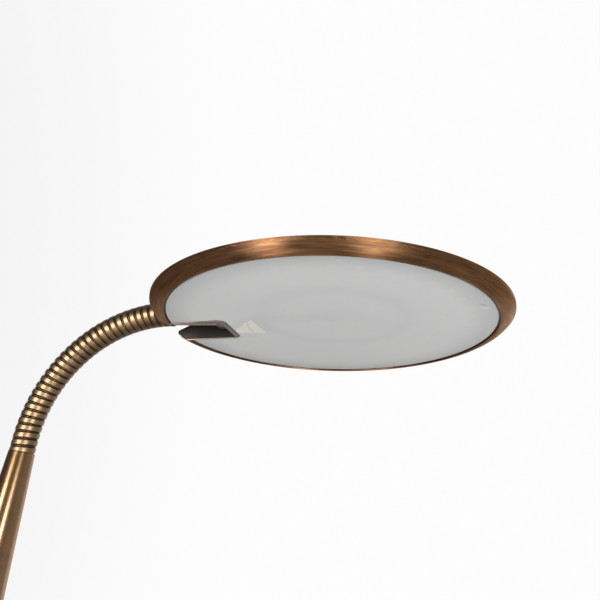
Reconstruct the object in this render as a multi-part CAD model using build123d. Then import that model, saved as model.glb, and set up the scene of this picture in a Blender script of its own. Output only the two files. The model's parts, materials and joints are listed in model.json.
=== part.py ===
from build123d import *
import math
import os

# Table lamp: a weighted round base, a conical stem, a coiled flexible neck and a flat disc head
# with LEDs behind an opal diffuser. Millimetres. The origin is the middle of the base's underside,
# +Z is up and +X runs from the stem to the head. The stem axis is Z.

# Running and seating clearances
SEAT_GAP = 0.1
SLIP_GAP = 0.3
PIN_GAP = 0.03

# Base
BASE_RADIUS = 100.0
BASE_TOP = 24.0
BASE_SHOULDER = 8.0
COVER_WALL = 1.6
COVER_RISE = 1.0
PAD_INSET = 6.0
PAD_THICKNESS = 2.0
PLATE_THICKNESS = 2.0
PLATE_EDGE_GAP = 0.5
WEIGHT_INSET = 16.0
WEIGHT_THICKNESS = 11.0
POCKET_GAP = 2.0

# Screws that hold the base plate to the weight
PLATE_SCREW_COUNT = 3
PLATE_SCREW_INSET = 30.0
PLATE_SCREW_ANGLE = 30.0
PLATE_SCREW_RADIUS = 2.0
PLATE_SCREW_DEPTH = 8.0
PLATE_SCREW_HEAD_RADIUS = 3.5
PLATE_SCREW_HEAD = 1.4

# Parts inside the base
DRIVER_SIZE = (62.0, 28.0, 15.0)
DRIVER_INSET = 51.0
TERMINAL_SIZE = (20.0, 14.0, 10.0)
TERMINAL_INSET = 38.0
GLAND_HEIGHT = 11.0
GLAND_BODY_RADIUS = 5.0
GLAND_FLANGE_RADIUS = 6.5
GLAND_FLANGE = 2.5
GLAND_DEPTH = 10.0
GLAND_BORE_RADIUS = 3.5
GLAND_NUT_RADIUS = 6.6
GLAND_NUT = 4.0

# Push switch on top of the base
SWITCH_INSET = 38.0
SWITCH_BODY_RADIUS = 9.5
SWITCH_BODY_DEPTH = 13.4
SWITCH_FLOOR = 3.0
SWITCH_CAVITY_RADIUS = 7.6
BEZEL_RADIUS = 11.0
BEZEL_THICKNESS = 1.2
BEZEL_SLEEVE_DEPTH = 2.0
BUTTON_RADIUS = 6.0
BUTTON_STANDS_OUT = 2.6
BUTTON_FLANGE_RADIUS = 7.1
BUTTON_FLANGE = 2.4
BUTTON_EDGE = 0.8
SPRING_OUTER_RADIUS = 5.2
SPRING_WIRE = 0.8

# Stem
STEM_LENGTH = 280.0
STEM_TOP_RADIUS = 7.6
STEM_TAPER = 3.0
STEM_WALL = 1.2
STEM_FOOT = 5.0
ROD_RADIUS = 5.0
ROD_BORE_RADIUS = 3.0
ROD_NUT_WIDTH = 16.0
ROD_NUT = 6.0
ROD_WASHER = 1.2
ROD_WASHER_RADIUS = 10.0
ROD_END_GAP = 0.4
SPACER_RADIUS = 11.0
SOCKET_DEPTH = 14.0
ROD_IN_SOCKET = 8.0
LEAD_RADIUS = 2.2

# Flexible neck: one round wire wound to the right along a straight run and an arc
NECK_STRAIGHT = 7.7
NECK_BEND_RADIUS = 84.0
NECK_BEND_ANGLE = 86.15
NECK_RADIUS = 7.4
WIRE_RADIUS = 1.6
FIRST_LINK_TURNS = 1.75
MOVING_LINKS = 12
LINK_TURNS = 2.25
LAST_LINK_TURNS = 1.25
WIRE_CUT = 0.8
SPIGOT_GAP = 0.2
SPIGOT_LENGTH = 6.0

# Head: a flat disc with a sharp double bevel, tilted up at its free end
HEAD_RADIUS = 100.0
RIM_INSET = 6.5
LIP_WIDTH = 1.6
LIP_THICKNESS = 1.0
RIM_HEIGHT = 4.5
RIM_EDGE = 1.9
RIM_WALL = 1.2
SHELL_STEP = 0.3
SHELL_BEVEL = 14.0
SHELL_HEIGHT = 12.6
SHELL_CROWN = 14.5
SHELL_WALL = 1.2

# Slot in the head for the end of the neck
SLOT_HALF_WIDTH = 14.2
SLOT_DEPTH = 40.85
SLOT_CORNER = 3.0
SLOT_OVERRUN = 10.0
LINER_WALL = 1.0
LINER_RISE = 0.3

# Tilt hinge in the slot
SLEEVE_RADIUS = 6.8
SLEEVE_BORE_RADIUS = 2.6
SLEEVE_LENGTH = 28.4
HEAD_TO_SLEEVE_ANGLE = 3.08
PIVOT_INSET = 32.5
PIVOT_HEIGHT = 10.45
BARREL_RADIUS = 6.3
BARREL_HALF_LENGTH = 9.0
HINGE_PIN_RADIUS = 2.5
WASHER_THICKNESS = 0.3
WASHER_RADIUS = 5.4
WASHER_SIDE_GAP = 0.05
EAR_THICKNESS = 3.6
EAR_RADIUS = 4.6
BRACKET_PLATE = 1.75
BRACKET_TOP = 12.0
BRACKET_SIDE_GAP = 0.1
BRACKET_SCREW_RADIUS = 1.5
BRACKET_SCREW_HEAD_RADIUS = 2.7
BRACKET_SCREW_HEAD = 1.8
BRACKET_SCREW_SPACING = 16.0
BRACKET_SCREW_HEIGHT = 8.5

# Light unit inside the head
DIFFUSER_EDGE_GAP = 1.2
DIFFUSER_RECESS = 0.6
DIFFUSER_THICKNESS = 2.0
DIFFUSER_FLANGE_LAP = 0.7
DIFFUSER_FLANGE = 2.0
DIFFUSER_SLOT_GAP = 0.4
SPACER_RING_WIDTH = 4.6
SPACER_RING = 2.9
HEAT_PLATE_INSET = 0.5
HEAT_PLATE_THICKNESS = 1.5
BOARD_EDGE_GAP = 2.0
BOARD_WIDTH = 56.0
BOARD_THICKNESS = 1.0
BOARD_SLOT_GAP = 2.4
OUTER_LED_INSET = 10.0
MIDDLE_LED_INSET = 26.0
INNER_LED_INSET = 44.0
LED_COUNTS = (36, 20, 14)
LED_SIZE = (2.8, 3.5, 0.7)
LED_SLOT_GAP = 14.0
LED_SEAL_GAP = 1.5
BOSS_INSET = 36.0
BOSS_COUNT = 4
BOSS_RADIUS = 3.2
BOARD_SCREW_RADIUS = 1.5
BOARD_SCREW_HEAD_RADIUS = 2.7
BOARD_SCREW_HEAD = 1.5
BOARD_SCREW_REACH = 3.0
SEAL_FROM_SLOT = 8.65
SEAL_SIDE = 0.2
SEAL_LOBE_STEP = 8.0
SEAL_LOBE_SIDE = -1.4
SEAL_RADIUS = 4.6
SEAL_HEIGHT = 1.5
SEAL_EDGE = 1.0

# Radii and places worked out from the sizes above
PAD_RADIUS = BASE_RADIUS - PAD_INSET
WEIGHT_RADIUS = BASE_RADIUS - WEIGHT_INSET
PLATE_SCREW_CIRCLE = BASE_RADIUS - PLATE_SCREW_INSET
DRIVER_CENTRE_Y = BASE_RADIUS - DRIVER_INSET
TERMINAL_CENTRE_X = TERMINAL_INSET - BASE_RADIUS
SWITCH_X = BASE_RADIUS - SWITCH_INSET
LIP_RADIUS = HEAD_RADIUS - RIM_INSET
LIP_INNER_RADIUS = LIP_RADIUS - LIP_WIDTH
SHELL_FLAT_RADIUS = HEAD_RADIUS - SHELL_BEVEL
SLOT_END = HEAD_RADIUS - SLOT_DEPTH
PIVOT_FROM_CENTRE = HEAD_RADIUS - PIVOT_INSET
DIFFUSER_RADIUS = LIP_INNER_RADIUS - DIFFUSER_EDGE_GAP
DIFFUSER_FLANGE_RADIUS = LIP_INNER_RADIUS + DIFFUSER_FLANGE_LAP
SPACER_RING_INNER = DIFFUSER_FLANGE_RADIUS - SPACER_RING_WIDTH
HEAT_PLATE_RADIUS = LIP_RADIUS - HEAT_PLATE_INSET
BOARD_RADIUS = SPACER_RING_INNER - BOARD_EDGE_GAP
BOARD_INNER_RADIUS = BOARD_RADIUS - BOARD_WIDTH
LED_RADII = (
    BOARD_RADIUS - OUTER_LED_INSET,
    BOARD_RADIUS - MIDDLE_LED_INSET,
    BOARD_RADIUS - INNER_LED_INSET,
)
BOSS_CIRCLE = BOARD_RADIUS - BOSS_INSET

# Heights and lengths worked out from the sizes above
PLATE_TOP = PAD_THICKNESS + PLATE_THICKNESS
WEIGHT_TOP = PLATE_TOP + WEIGHT_THICKNESS
COVER_UNDERSIDE = BASE_TOP - COVER_WALL
STEM_TOP = BASE_TOP + STEM_LENGTH
STEM_BASE_RADIUS = STEM_TOP_RADIUS + STEM_LENGTH * math.tan(math.radians(STEM_TAPER))
NECK_LENGTH = NECK_STRAIGHT + NECK_BEND_RADIUS * math.radians(NECK_BEND_ANGLE)
NECK_TURNS = FIRST_LINK_TURNS + MOVING_LINKS * LINK_TURNS + LAST_LINK_TURNS
COIL_START = WIRE_RADIUS + SEAT_GAP
COIL_PITCH = (NECK_LENGTH - 2 * COIL_START) / NECK_TURNS
WIRE_CENTRE_RADIUS = NECK_RADIUS - WIRE_RADIUS
SPIGOT_RADIUS = NECK_RADIUS - 2 * WIRE_RADIUS - SPIGOT_GAP
SHELL_FOOT = RIM_HEIGHT + RIM_EDGE
NUT_RECESS_TOP = PLATE_TOP + 2 * ROD_END_GAP + ROD_NUT + ROD_WASHER
ROD_TOP = STEM_TOP - SOCKET_DEPTH + ROD_IN_SOCKET
BEZEL_FOOT = COVER_UNDERSIDE - BEZEL_SLEEVE_DEPTH
FLANGE_TOP = BEZEL_FOOT - SLIP_GAP
DIFFUSER_FLANGE_TOP = LIP_THICKNESS + SEAT_GAP + DIFFUSER_FLANGE
SPACER_RING_TOP = DIFFUSER_FLANGE_TOP + SPACER_RING
BOARD_BOTTOM = SPACER_RING_TOP - BOARD_THICKNESS
HEAT_PLATE_TOP = SPACER_RING_TOP + HEAT_PLATE_THICKNESS
EAR_INNER = BARREL_HALF_LENGTH + WASHER_THICKNESS + 2 * WASHER_SIDE_GAP
BRACKET_FACE = SLOT_END + BRACKET_PLATE
SLOT_REACH = HEAD_RADIUS + SLOT_OVERRUN

# Where the neck ends, where the head turns on it, and where the head's own frame lies
NECK_TURN = math.radians(NECK_BEND_ANGLE)
NECK_END_X = NECK_BEND_RADIUS * (1 - math.cos(NECK_TURN))
NECK_END_Z = STEM_TOP + NECK_STRAIGHT + NECK_BEND_RADIUS * math.sin(NECK_TURN)
PIVOT_X = NECK_END_X + SLEEVE_LENGTH * math.sin(NECK_TURN)
PIVOT_Z = NECK_END_Z + SLEEVE_LENGTH * math.cos(NECK_TURN)
HEAD_TILT = 90 - NECK_BEND_ANGLE + HEAD_TO_SLEEVE_ANGLE
TILT = math.radians(HEAD_TILT)
HEAD_X = PIVOT_X + PIVOT_FROM_CENTRE * math.cos(TILT) + PIVOT_HEIGHT * math.sin(TILT)
HEAD_Z = PIVOT_Z + PIVOT_FROM_CENTRE * math.sin(TILT) - PIVOT_HEIGHT * math.cos(TILT)
SLEEVE_PLACE = Location((NECK_END_X, 0, NECK_END_Z)) * Rotation(0, NECK_BEND_ANGLE, 0)
HEAD_PLACE = Location((HEAD_X, 0, HEAD_Z)) * Rotation(0, -HEAD_TILT, 0)
SWITCH_PLACE = Pos(SWITCH_X, 0, 0)
UP = (Align.CENTER, Align.CENTER, Align.MIN)


def save(name, shape):
    export_step(shape, os.path.join("parts", name + ".step"))


def disc(radius, bottom, top):
    return Pos(0, 0, bottom) * Cylinder(radius, top - bottom, align=UP)


def ring(outer, inner, bottom, top):
    return disc(outer, bottom, top) - disc(inner, bottom, top)


def block(size, x, y, bottom):
    return Pos(x, y, bottom) * Box(*size, align=UP)


def turned(points):
    outline = make_face(Polyline(*points, close=True))
    return revolve(Plane.XZ * outline, Axis.Z)


def around(count, radius, first_angle=0.0):
    step = 360.0 / count
    angles = [math.radians(first_angle + step * i) for i in range(count)]
    return [Pos(radius * math.cos(a), radius * math.sin(a), 0) for a in angles]


def rod_along_x(radius, start, end, y, z):
    return Pos(start, y, z) * Rotation(0, 90, 0) * Cylinder(radius, end - start, align=UP)


def rod_along_y(radius, start, end, x, z):
    return Pos(x, start, z) * Rotation(-90, 0, 0) * Cylinder(radius, end - start, align=UP)


def screw(radius, depth, head_radius, head):
    return Cylinder(radius, depth, align=UP) + Pos(0, 0, -head) * Cylinder(head_radius, head, align=UP)


# Base pieces
def base_cover():
    height = BASE_TOP - COVER_RISE
    outer = Pos(0, 0, COVER_RISE) * Cylinder(BASE_RADIUS, height, align=UP)
    outer = fillet(outer.edges().group_by(Axis.Z)[-1], BASE_SHOULDER)
    inner = Pos(0, 0, COVER_RISE) * Cylinder(BASE_RADIUS - COVER_WALL, height - COVER_WALL, align=UP)
    inner = fillet(inner.edges().group_by(Axis.Z)[-1], BASE_SHOULDER - COVER_WALL)
    shell = outer - inner - disc(ROD_RADIUS + SEAT_GAP, 0, BASE_TOP)
    shell -= Pos(SWITCH_X, 0, 0) * disc(SWITCH_CAVITY_RADIUS, 0, BASE_TOP)
    gland_hole = GLAND_BODY_RADIUS + SEAT_GAP
    inside_end = -BASE_RADIUS + GLAND_DEPTH
    return shell - rod_along_x(gland_hole, -BASE_RADIUS - GLAND_FLANGE, inside_end, 0, GLAND_HEIGHT)


def pocket(size, x, y):
    wide = (size[0] + 2 * POCKET_GAP, size[1] + 2 * POCKET_GAP, WEIGHT_THICKNESS)
    return block(wide, x, y, PLATE_TOP)


def base_weight():
    weight = ring(WEIGHT_RADIUS, ROD_RADIUS + SEAT_GAP, PLATE_TOP, WEIGHT_TOP)
    weight -= disc(ROD_WASHER_RADIUS + POCKET_GAP, PLATE_TOP, NUT_RECESS_TOP)
    weight -= pocket(DRIVER_SIZE, 0, DRIVER_CENTRE_Y)
    weight -= pocket(TERMINAL_SIZE, TERMINAL_CENTRE_X, 0)
    weight -= Pos(SWITCH_X, 0, 0) * disc(SWITCH_BODY_RADIUS + POCKET_GAP, PLATE_TOP, WEIGHT_TOP)
    for place in around(PLATE_SCREW_COUNT, PLATE_SCREW_CIRCLE, PLATE_SCREW_ANGLE):
        weight -= place * disc(PLATE_SCREW_RADIUS + SEAT_GAP, PLATE_TOP, PLATE_TOP + PLATE_SCREW_DEPTH)
    return weight


def base_plate():
    plate = disc(BASE_RADIUS - COVER_WALL - PLATE_EDGE_GAP, PAD_THICKNESS, PLATE_TOP)
    for place in around(PLATE_SCREW_COUNT, PLATE_SCREW_CIRCLE, PLATE_SCREW_ANGLE):
        plate -= place * disc(PLATE_SCREW_RADIUS + SEAT_GAP, 0, PLATE_TOP)
    return plate


def base_pad():
    pad = disc(PAD_RADIUS, 0, PAD_THICKNESS)
    for place in around(PLATE_SCREW_COUNT, PLATE_SCREW_CIRCLE, PLATE_SCREW_ANGLE):
        pad -= place * disc(PLATE_SCREW_HEAD_RADIUS + SLIP_GAP, 0, PAD_THICKNESS)
    return pad


def plate_screws():
    depth = PLATE_THICKNESS + PLATE_SCREW_DEPTH - SLIP_GAP
    one = screw(PLATE_SCREW_RADIUS, depth, PLATE_SCREW_HEAD_RADIUS, PLATE_SCREW_HEAD)
    places = around(PLATE_SCREW_COUNT, PLATE_SCREW_CIRCLE, PLATE_SCREW_ANGLE)
    return Compound(children=[place * Pos(0, 0, PAD_THICKNESS) * one for place in places])


def cord_gland():
    flange_face = -BASE_RADIUS - GLAND_FLANGE
    inside_end = -BASE_RADIUS + GLAND_DEPTH
    gland = rod_along_x(GLAND_FLANGE_RADIUS, flange_face, -BASE_RADIUS, 0, GLAND_HEIGHT)
    gland += rod_along_x(GLAND_BODY_RADIUS, -BASE_RADIUS, inside_end, 0, GLAND_HEIGHT)
    return gland - rod_along_x(GLAND_BORE_RADIUS, flange_face, inside_end, 0, GLAND_HEIGHT)


def gland_nut():
    sag = BASE_RADIUS - COVER_WALL - math.sqrt((BASE_RADIUS - COVER_WALL) ** 2 - GLAND_NUT_RADIUS ** 2)
    start = -BASE_RADIUS + COVER_WALL + sag + SEAT_GAP
    nut = extrude(RegularPolygon(GLAND_NUT_RADIUS, 6), GLAND_NUT)
    nut -= Cylinder(GLAND_BODY_RADIUS + PIN_GAP, GLAND_NUT, align=UP)
    return Pos(start, 0, GLAND_HEIGHT) * Rotation(0, 90, 0) * nut


# Push switch pieces, on the switch's own axis
def switch_body():
    bottom = COVER_UNDERSIDE - SWITCH_BODY_DEPTH
    body = disc(SWITCH_BODY_RADIUS, bottom, COVER_UNDERSIDE)
    return body - disc(SWITCH_CAVITY_RADIUS, bottom + SWITCH_FLOOR, COVER_UNDERSIDE)


def switch_bezel():
    bezel = disc(BEZEL_RADIUS, BASE_TOP, BASE_TOP + BEZEL_THICKNESS)
    bezel = chamfer(bezel.edges().group_by(Axis.Z)[-1], BEZEL_THICKNESS / 2)
    bezel += disc(SWITCH_CAVITY_RADIUS - SEAT_GAP, BEZEL_FOOT, BASE_TOP)
    return bezel - disc(BUTTON_RADIUS + SLIP_GAP, BEZEL_FOOT, BASE_TOP + BEZEL_THICKNESS)


def switch_button():
    top = BASE_TOP + BUTTON_STANDS_OUT
    cap = disc(BUTTON_RADIUS, FLANGE_TOP, top)
    cap = fillet(cap.edges().group_by(Axis.Z)[-1], BUTTON_EDGE)
    return cap + disc(BUTTON_FLANGE_RADIUS, FLANGE_TOP - BUTTON_FLANGE, FLANGE_TOP)


def switch_spring():
    floor = COVER_UNDERSIDE - SWITCH_BODY_DEPTH + SWITCH_FLOOR
    return ring(SPRING_OUTER_RADIUS, SPRING_OUTER_RADIUS - SPRING_WIRE, floor, FLANGE_TOP - BUTTON_FLANGE)


# Stem pieces
def cone_radius(height):
    return STEM_TOP_RADIUS + (STEM_TOP - height) * math.tan(math.radians(STEM_TAPER))


def stem_cone():
    outer = Cone(STEM_BASE_RADIUS, STEM_TOP_RADIUS, STEM_LENGTH, align=UP)
    inner = Cone(STEM_BASE_RADIUS - STEM_WALL, STEM_TOP_RADIUS - STEM_WALL, STEM_LENGTH, align=UP)
    return Pos(0, 0, BASE_TOP) * (outer - inner)


def stem_foot():
    inside = SEAT_GAP + STEM_WALL
    top = BASE_TOP + STEM_FOOT
    foot = Cone(cone_radius(BASE_TOP) - inside, cone_radius(top) - inside, STEM_FOOT, align=UP)
    return Pos(0, 0, BASE_TOP) * foot - disc(ROD_RADIUS + SEAT_GAP, BASE_TOP, top)


def stem_rod():
    return ring(ROD_RADIUS, ROD_BORE_RADIUS, PLATE_TOP + ROD_END_GAP, ROD_TOP)


def rod_nut():
    nut = extrude(RegularPolygon(ROD_NUT_WIDTH / 2, 6, major_radius=False), ROD_NUT)
    nut = Pos(0, 0, NUT_RECESS_TOP - ROD_WASHER - ROD_NUT) * nut
    return nut - disc(ROD_RADIUS + PIN_GAP, PLATE_TOP, NUT_RECESS_TOP)


def neck_socket():
    inside = SEAT_GAP + STEM_WALL
    bottom = STEM_TOP - SOCKET_DEPTH
    plug = Cone(cone_radius(bottom) - inside, STEM_TOP_RADIUS - inside, SOCKET_DEPTH, align=UP)
    plug = Pos(0, 0, bottom) * plug + disc(SPIGOT_RADIUS, STEM_TOP, STEM_TOP + SPIGOT_LENGTH)
    plug -= disc(ROD_RADIUS + PIN_GAP, bottom, bottom + ROD_IN_SOCKET)
    return plug - disc(SLEEVE_BORE_RADIUS, bottom, STEM_TOP + SPIGOT_LENGTH)


# Neck: its middle line, and the wire wound round it
def neck_frame(length):
    turn = max(0.0, length - NECK_STRAIGHT) / NECK_BEND_RADIUS
    straight = min(length, NECK_STRAIGHT)
    x = NECK_BEND_RADIUS * (1 - math.cos(turn))
    z = STEM_TOP + straight + NECK_BEND_RADIUS * math.sin(turn)
    return Vector(x, 0, z), Vector(math.cos(turn), 0, -math.sin(turn))


def wire_point(turns):
    middle, inward = neck_frame(COIL_START + COIL_PITCH * turns)
    angle = 2 * math.pi * turns
    side = Vector(0, 1, 0)
    return middle + (inward * math.cos(angle) + side * math.sin(angle)) * WIRE_CENTRE_RADIUS


def wire_heading(turns):
    step = 1e-4
    return (wire_point(turns + step) - wire_point(turns - step)).normalized()


def biarc(start, heading, end, end_heading):
    across = end - start
    both = heading + end_heading
    bend = 2 * (1 - heading.dot(end_heading))
    along = across.dot(both)
    reach = (math.sqrt(along ** 2 + bend * across.dot(across)) - along) / bend
    first = start + heading * reach
    second = end - end_heading * reach
    middle = (first + second) * 0.5
    return [
        TangentArc(start, middle, tangent=heading),
        TangentArc(middle, end, tangent=second - first),
    ]


def coil_link(first_turn, last_turn):
    quarters = max(1, math.ceil((last_turn - first_turn) * 4))
    stops = [first_turn + (last_turn - first_turn) * i / quarters for i in range(quarters + 1)]
    arcs = []
    for a, b in zip(stops, stops[1:]):
        arcs += biarc(wire_point(a), wire_heading(a), wire_point(b), wire_heading(b))
    section = Plane(wire_point(first_turn), z_dir=wire_heading(first_turn)) * Circle(WIRE_RADIUS)
    return sweep(section, path=Wire(arcs))


def link_ends():
    turns = [0.0, FIRST_LINK_TURNS]
    for _ in range(MOVING_LINKS):
        turns.append(turns[-1] + LINK_TURNS)
    turns.append(NECK_TURNS)
    return list(zip(turns, turns[1:]))


def least_wire_gap():
    samples = 48
    points = [wire_point(i / samples) for i in range(int(NECK_TURNS * samples))]
    nearest = min(
        (points[j] - points[i]).length
        for i in range(len(points))
        for j in range(i + samples // 2, min(i + 2 * samples, len(points)))
    )
    return nearest - 2 * WIRE_RADIUS


def neck_lead():
    corner = Vector(0, 0, STEM_TOP + NECK_STRAIGHT)
    end, _ = neck_frame(NECK_LENGTH - SPIGOT_LENGTH)
    start = Vector(0, 0, STEM_TOP + SPIGOT_LENGTH)
    path = Wire([Line(start, corner), TangentArc(corner, end, tangent=(0, 0, 1))])
    return sweep(Plane(start, z_dir=(0, 0, 1)) * Circle(LEAD_RADIUS), path=path)


# Head pieces, in the head's own frame: middle of the lip plane, +X to the free end, +Z up
def slot_prism(half_width, inner_end, corner):
    length = SLOT_REACH - inner_end
    prism = block((length, 2 * half_width, 4 * SHELL_CROWN), -inner_end - length / 2, 0, -SHELL_CROWN)
    inner_edges = prism.edges().filter_by(Axis.Z).group_by(Axis.X)[-1]
    return fillet(inner_edges, corner)


def slot_cut(gap):
    grow = LINER_WALL + gap
    return slot_prism(SLOT_HALF_WIDTH + grow, SLOT_END - grow, SLOT_CORNER + grow)


def head_envelope():
    slope = (HEAD_RADIUS - LIP_RADIUS) / RIM_HEIGHT
    return turned([
        (0, LINER_RISE),
        (LIP_RADIUS + slope * LINER_RISE, LINER_RISE),
        (HEAD_RADIUS, RIM_HEIGHT),
        (HEAD_RADIUS, SHELL_FOOT),
        (SHELL_FLAT_RADIUS, SHELL_HEIGHT),
        (0, SHELL_CROWN),
    ])


def rim_ring():
    slope = (HEAD_RADIUS - LIP_RADIUS) / RIM_HEIGHT
    back = RIM_WALL * math.sqrt(1 + slope ** 2)
    ring_solid = turned([
        (LIP_INNER_RADIUS, 0),
        (LIP_RADIUS, 0),
        (HEAD_RADIUS, RIM_HEIGHT),
        (HEAD_RADIUS, SHELL_FOOT),
        (HEAD_RADIUS - RIM_WALL, SHELL_FOOT),
        (HEAD_RADIUS - back, RIM_HEIGHT),
        (LIP_RADIUS + slope * LIP_THICKNESS - back, LIP_THICKNESS),
        (LIP_INNER_RADIUS, LIP_THICKNESS),
    ])
    return ring_solid - slot_cut(SEAT_GAP)


def shell_underside(radius):
    fall = (SHELL_CROWN - SHELL_HEIGHT) / SHELL_FLAT_RADIUS
    return SHELL_CROWN - SHELL_WALL - fall * radius


def top_shell():
    edge = HEAD_RADIUS - SHELL_STEP
    shell = turned([
        (0, SHELL_CROWN),
        (SHELL_FLAT_RADIUS, SHELL_HEIGHT),
        (edge, SHELL_FOOT),
        (edge - SHELL_WALL, SHELL_FOOT),
        (SHELL_FLAT_RADIUS - SHELL_WALL, SHELL_HEIGHT - SHELL_WALL),
        (0, SHELL_CROWN - SHELL_WALL),
    ])
    return shell - slot_cut(SEAT_GAP)


def slot_liner():
    outer = slot_cut(0)
    inner = slot_prism(SLOT_HALF_WIDTH, SLOT_END, SLOT_CORNER)
    liner = (outer - inner) & head_envelope()
    hole = BRACKET_SCREW_RADIUS + SEAT_GAP
    for y, z in bracket_screw_places():
        liner -= rod_along_x(hole, -BRACKET_FACE, -SLOT_END + LINER_WALL, y, z)
    return liner


def bracket_screw_places():
    half = BRACKET_SCREW_SPACING / 2
    return [(-half, BRACKET_SCREW_HEIGHT), (half, BRACKET_SCREW_HEIGHT)]


def hinge_bracket():
    plate_size = (BRACKET_PLATE, 2 * SLOT_HALF_WIDTH, BRACKET_TOP)
    plate = block(plate_size, -BRACKET_FACE + BRACKET_PLATE / 2, 0, LINER_RISE)
    bracket = plate & slot_prism(SLOT_HALF_WIDTH - BRACKET_SIDE_GAP, SLOT_END, SLOT_CORNER)
    arm = PIVOT_FROM_CENTRE - BRACKET_FACE
    for side in (-1, 1):
        middle = side * (EAR_INNER + EAR_THICKNESS / 2)
        start = middle - EAR_THICKNESS / 2
        ear = rod_along_y(EAR_RADIUS, start, start + EAR_THICKNESS, -PIVOT_FROM_CENTRE, PIVOT_HEIGHT)
        web = (arm, EAR_THICKNESS, 2 * EAR_RADIUS)
        ear += block(web, -BRACKET_FACE - arm / 2, middle, PIVOT_HEIGHT - EAR_RADIUS)
        bracket += ear
    reach = EAR_INNER + EAR_THICKNESS
    bracket -= rod_along_y(HINGE_PIN_RADIUS, -reach, reach, -PIVOT_FROM_CENTRE, PIVOT_HEIGHT)
    for y, z in bracket_screw_places():
        bracket -= rod_along_x(BRACKET_SCREW_RADIUS, -BRACKET_FACE, -SLOT_END, y, z)
    return bracket


def hinge_pin():
    reach = EAR_INNER + EAR_THICKNESS
    return rod_along_y(HINGE_PIN_RADIUS, -reach, reach, -PIVOT_FROM_CENTRE, PIVOT_HEIGHT)


def hinge_washers():
    inner = BARREL_HALF_LENGTH + WASHER_SIDE_GAP
    washers = []
    for start in (inner, -inner - WASHER_THICKNESS):
        end = start + WASHER_THICKNESS
        washer = rod_along_y(WASHER_RADIUS, start, end, -PIVOT_FROM_CENTRE, PIVOT_HEIGHT)
        bore = rod_along_y(HINGE_PIN_RADIUS + PIN_GAP, start, end, -PIVOT_FROM_CENTRE, PIVOT_HEIGHT)
        washers.append(washer - bore)
    return Compound(children=washers)


def bracket_screws():
    inside = -SLOT_END + LINER_WALL
    screws = []
    for y, z in bracket_screw_places():
        shank = rod_along_x(BRACKET_SCREW_RADIUS, -BRACKET_FACE, inside, y, z)
        head = rod_along_x(BRACKET_SCREW_HEAD_RADIUS, inside, inside + BRACKET_SCREW_HEAD, y, z)
        screws.append(shank + head)
    return Compound(children=screws)


# Sleeve and barrel, in the sleeve's frame: the neck's end, +Z along the sleeve
def barrel_solid(radius):
    return rod_along_y(radius, -BARREL_HALF_LENGTH, BARREL_HALF_LENGTH, 0, SLEEVE_LENGTH)


def neck_sleeve():
    sleeve = disc(SLEEVE_RADIUS, 0, SLEEVE_LENGTH) + disc(SPIGOT_RADIUS, -SPIGOT_LENGTH, 0)
    sleeve -= disc(SLEEVE_BORE_RADIUS, -SPIGOT_LENGTH, SLEEVE_LENGTH)
    return sleeve - barrel_solid(BARREL_RADIUS)


def hinge_barrel():
    return barrel_solid(BARREL_RADIUS) - barrel_solid(HINGE_PIN_RADIUS + PIN_GAP)


# Light unit
def diffuser():
    front = disc(DIFFUSER_RADIUS, DIFFUSER_RECESS, DIFFUSER_RECESS + DIFFUSER_THICKNESS)
    flange_foot = DIFFUSER_FLANGE_TOP - DIFFUSER_FLANGE
    flange = ring(DIFFUSER_FLANGE_RADIUS, SPACER_RING_INNER, flange_foot, DIFFUSER_FLANGE_TOP)
    return front + flange - slot_cut(DIFFUSER_SLOT_GAP)


def spacer_ring():
    frame = ring(DIFFUSER_FLANGE_RADIUS, SPACER_RING_INNER, DIFFUSER_FLANGE_TOP, SPACER_RING_TOP)
    return frame - slot_cut(DIFFUSER_SLOT_GAP)


def boss_places():
    return around(BOSS_COUNT, BOSS_CIRCLE, 180.0 / BOSS_COUNT)


def heat_plate():
    plate = disc(HEAT_PLATE_RADIUS, SPACER_RING_TOP, HEAT_PLATE_TOP) - slot_cut(BOARD_SLOT_GAP)
    for place in boss_places():
        plate -= place * disc(BOARD_SCREW_RADIUS + SEAT_GAP, SPACER_RING_TOP, HEAT_PLATE_TOP)
    return plate


def led_board():
    board = ring(BOARD_RADIUS, BOARD_INNER_RADIUS, BOARD_BOTTOM, SPACER_RING_TOP) - slot_cut(BOARD_SLOT_GAP)
    for place in boss_places():
        board -= place * disc(BOARD_SCREW_RADIUS + SEAT_GAP, BOARD_BOTTOM, SPACER_RING_TOP)
    return board


def led_chips():
    chips = []
    seal_end = SEAL_FROM_SLOT + SEAL_LOBE_STEP + SEAL_RADIUS - SLOT_END
    slot_side = SLOT_HALF_WIDTH + LINER_WALL + BOARD_SLOT_GAP
    for radius, count in zip(LED_RADII, LED_COUNTS):
        for i in range(count):
            angle = 360.0 * (i + 0.5) / count
            x = radius * math.cos(math.radians(angle))
            y = radius * math.sin(math.radians(angle))
            if x < seal_end + LED_SEAL_GAP and abs(y) < slot_side + LED_SLOT_GAP:
                continue
            chip = Box(*LED_SIZE, align=UP)
            chips.append(Pos(x, y, BOARD_BOTTOM - LED_SIZE[2]) * Rotation(0, 0, angle) * chip)
    return Compound(children=chips)


def shell_bosses():
    top = shell_underside(BOSS_CIRCLE + BOSS_RADIUS)
    one = ring(BOSS_RADIUS, BOARD_SCREW_RADIUS, HEAT_PLATE_TOP, top)
    return Compound(children=[place * one for place in boss_places()])


def board_screws():
    depth = HEAT_PLATE_TOP - BOARD_BOTTOM + BOARD_SCREW_REACH
    one = screw(BOARD_SCREW_RADIUS, depth, BOARD_SCREW_HEAD_RADIUS, BOARD_SCREW_HEAD)
    return Compound(children=[place * Pos(0, 0, BOARD_BOTTOM) * one for place in boss_places()])


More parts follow.
